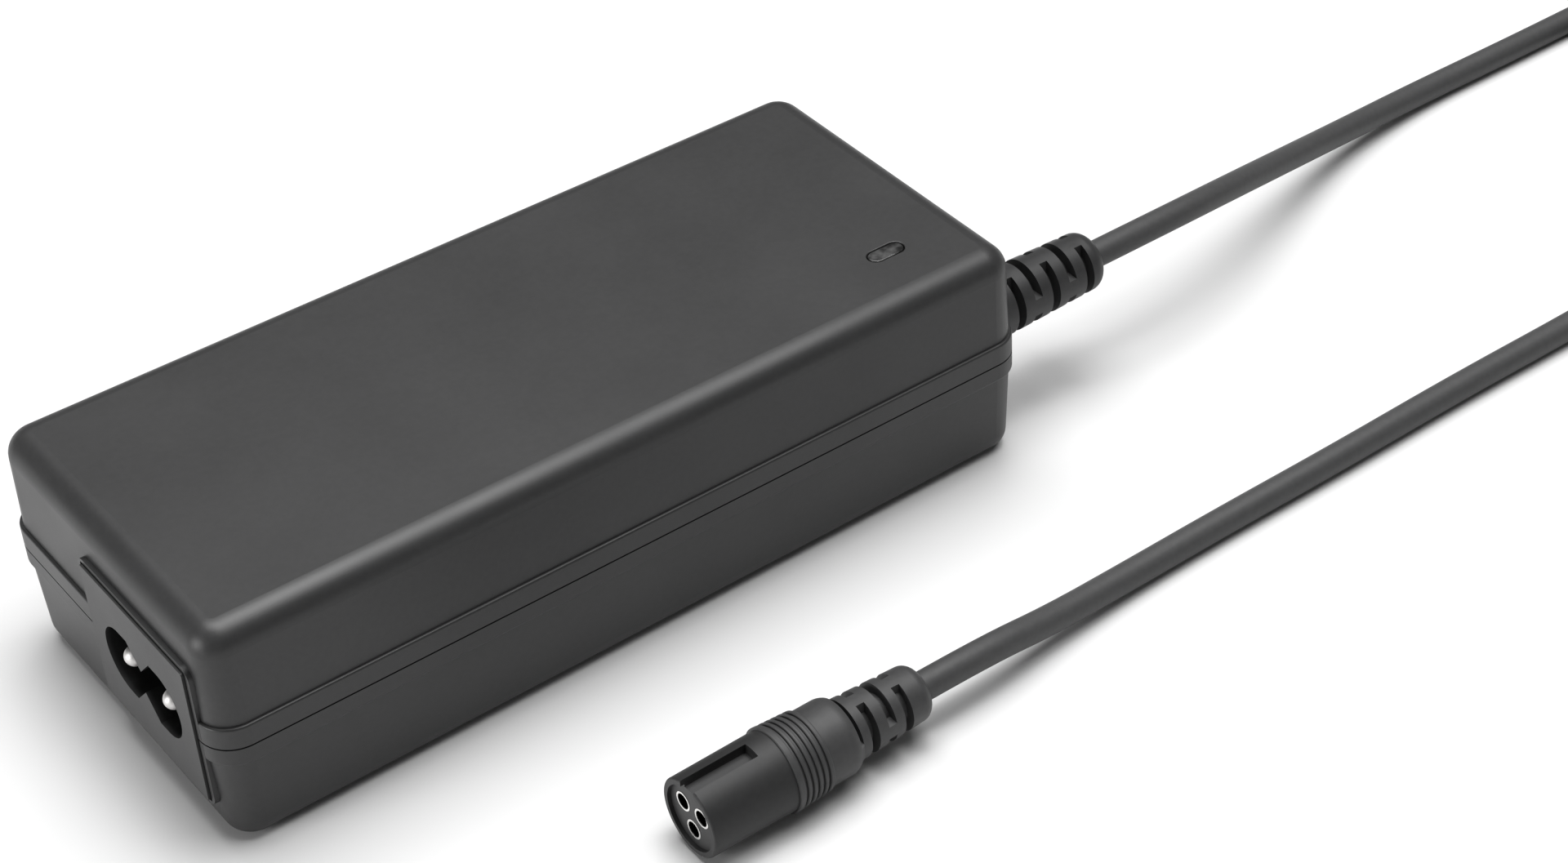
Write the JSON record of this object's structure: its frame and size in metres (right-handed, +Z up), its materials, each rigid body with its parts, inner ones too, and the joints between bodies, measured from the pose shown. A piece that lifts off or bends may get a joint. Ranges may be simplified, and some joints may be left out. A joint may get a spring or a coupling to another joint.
{
  "type": "laptop power adapter",
  "caption": "Desktop power brick with a figure-8 mains inlet, an indicator window and a low-voltage cord that ends in a round keyed connector.",
  "frame": {"origin": "under the middle of the case, on the surface that it stands on", "axes": "+X along the case from the mains inlet to the low-voltage cord, +Y across the case away from the connector, +Z up"},
  "size_m": [0.2726, 0.0817, 0.029],
  "materials": {
    "case": "fine matt spark-eroded texture",
    "inlet": "fine matt moulded",
    "boot": "soft matt",
    "cord": "satin PVC jacket",
    "grip": "soft satin",
    "barrel": "satin black",
    "insert": "matt",
    "nickel": "satin nickel plate",
    "lens": "smoky clear",
    "label": "satin printed film, blank",
    "board": "green solder mask",
    "sheet": "translucent film",
    "heatsink": "plain sheet",
    "screw": "zinc plated",
    "ferrite": "dull ceramic grey",
    "copper": "enamelled copper",
    "tape": "yellow polyester tape",
    "can": "printed-free plastic sleeve on a can",
    "moulding": "black epoxy",
    "film": "boxed film capacitor",
    "ceramic": "lacquered disc",
    "lamp": "clear resin",
    "wire": "insulated wire",
    "tie": "coated wire strap"
  },
  "bodies": {
    "root": {"top_cover": "case", "bottom_cover": "case", "rating_label": "label", "led_lens": "lens", "inlet_housing": "inlet", "inlet_pin_line": "nickel", "inlet_pin_neutral": "nickel", "main_board": "board", "insulation_sheet": "sheet", "primary_heatsink": "heatsink", "secondary_heatsink": "heatsink", "fuse": "film", "varistor": "ceramic", "inrush_thermistor": "moulding", "x_capacitor": "film", "common_mode_choke_core": "ferrite", "common_mode_choke_winding": "copper", "bridge_rectifier": "moulding", "bulk_capacitor": "can", "power_mosfet": "moulding", "pwm_controller": "moulding", "transformer_core": "ferrite", "transformer_winding": "tape", "y_capacitor": "ceramic", "optocoupler": "moulding", "output_rectifier": "moulding", "heatsink_screws": "screw", "output_choke": "copper", "output_capacitor_1": "can", "output_capacitor_2": "can", "status_led": "lamp", "dc_wire_positive": "wire", "dc_wire_sense": "wire", "dc_wire_negative": "wire", "dc_strain_relief": "boot", "dc_cord_to_coil": "cord", "dc_cord_coil": "cord", "coil_tie": "tie", "dc_cord_to_connector": "cord", "connector_barrel": "barrel", "connector_insert": "insert", "connector_overmold": "grip", "connector_contact_1": "nickel", "connector_contact_2": "nickel", "connector_contact_3": "nickel"}
  },
  "joints": []
}
